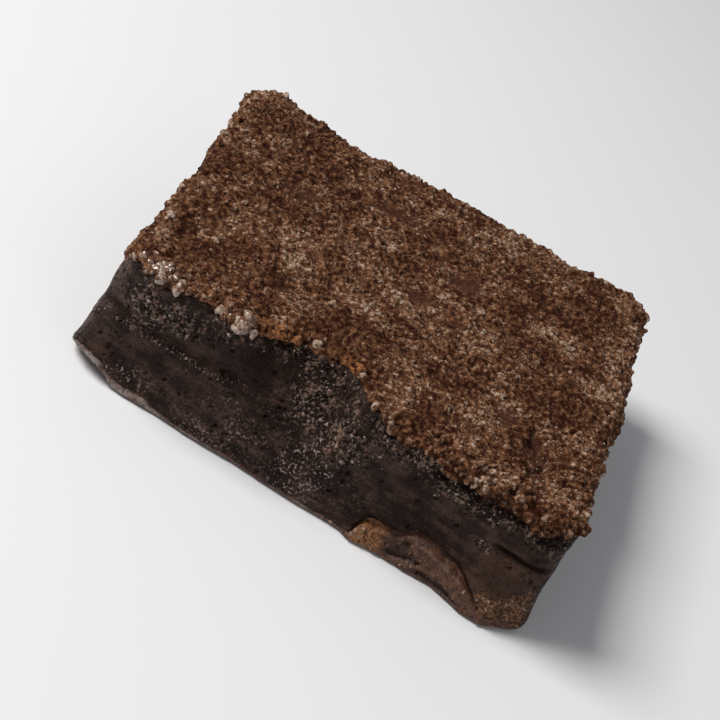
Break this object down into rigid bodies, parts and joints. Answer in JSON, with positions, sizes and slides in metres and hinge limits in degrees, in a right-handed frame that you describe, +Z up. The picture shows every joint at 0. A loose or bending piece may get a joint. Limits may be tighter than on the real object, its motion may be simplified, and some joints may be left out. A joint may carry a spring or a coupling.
{
  "type": "chocolate brownie",
  "caption": "One cut square of dense fudge brownie with a granular baked top crust that hangs raggedly over dark cut sides, lying flat on its base.",
  "frame": {"origin": "centre of the bounding box at the base, on the surface the brownie lies on", "axes": "+Z up out of the baked top; +X along the front cut face, to the right as seen from the front; +Y from the front cut face to the back"},
  "size_m": [0.0768, 0.07, 0.0234],
  "materials": {
    "brownie": "matt granular crust over dense, slightly moist dark crumb"
  },
  "bodies": {
    "root": {"brownie": "brownie"}
  },
  "joints": []
}
